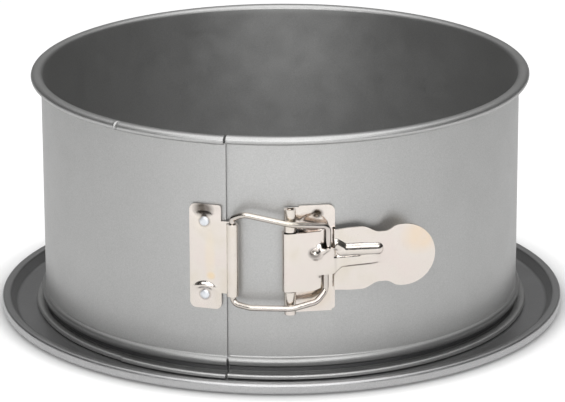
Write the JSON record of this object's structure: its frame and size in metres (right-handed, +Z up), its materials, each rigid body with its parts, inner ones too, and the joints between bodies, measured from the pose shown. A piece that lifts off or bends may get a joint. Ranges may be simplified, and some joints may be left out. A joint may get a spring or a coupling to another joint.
{
  "type": "springform pan",
  "caption": "Deep round springform cake pan: wide rimmed base, split band with a rolled rim, and a lever latch with a wire bail.",
  "frame": {"origin": "on the surface that the pan stands on, under the middle of the round base", "axes": "+Z up, -Y towards the latch, +X to the right when the latch is seen from the front, where the lever points"},
  "size_m": [0.2392, 0.2392, 0.103],
  "materials": {
    "tinned_steel": "satin tinned sheet",
    "nickel_plate": "bright nickel plate with a warm tint",
    "rivet_steel": "bright rivet heads"
  },
  "bodies": {
    "base": {"base_plate": "tinned_steel"},
    "band": {"band_main": "tinned_steel", "pivot_bracket": "nickel_plate", "bracket_rivet_upper": "rivet_steel", "bracket_rivet_lower": "rivet_steel", "pivot_pin": "nickel_plate"},
    "band_side": {"band_free_end": "tinned_steel", "catch_plate": "nickel_plate", "catch_rivet_upper": "rivet_steel", "catch_rivet_lower": "rivet_steel"},
    "latch_lever": {"lever": "nickel_plate"},
    "bail": {"wire_bail": "nickel_plate"}
  },
  "joints": [
    {"name": "band_lift", "type": "slide", "parent": "base", "child": "band", "axis": [0, 0, 1], "range_m": [0, 0.12]},
    {"name": "lever_swing", "type": "hinge", "parent": "band", "child": "latch_lever", "pos_m": [0.00339, -0.10319, 0.0514], "axis": [0, 0, -1], "range_deg": [0, 165]},
    {"name": "band_open", "type": "hinge", "parent": "band", "child": "band_side", "pos_m": [0, 0.1055, 0.0514], "axis": [0, 0, -1], "range_deg": [0, 4.8]},
    {"name": "bail_swing", "type": "hinge", "parent": "band_side", "child": "bail", "pos_m": [-0.01944, -0.10271, 0.0514], "axis": [0, 0, -1], "range_deg": [0, 14]}
  ],
  "couplings": [
    {"joint": "band_open", "follows": "lever_swing", "ratio": 0.02909},
    {"joint": "bail_swing", "follows": "lever_swing", "ratio": 0.0848}
  ]
}
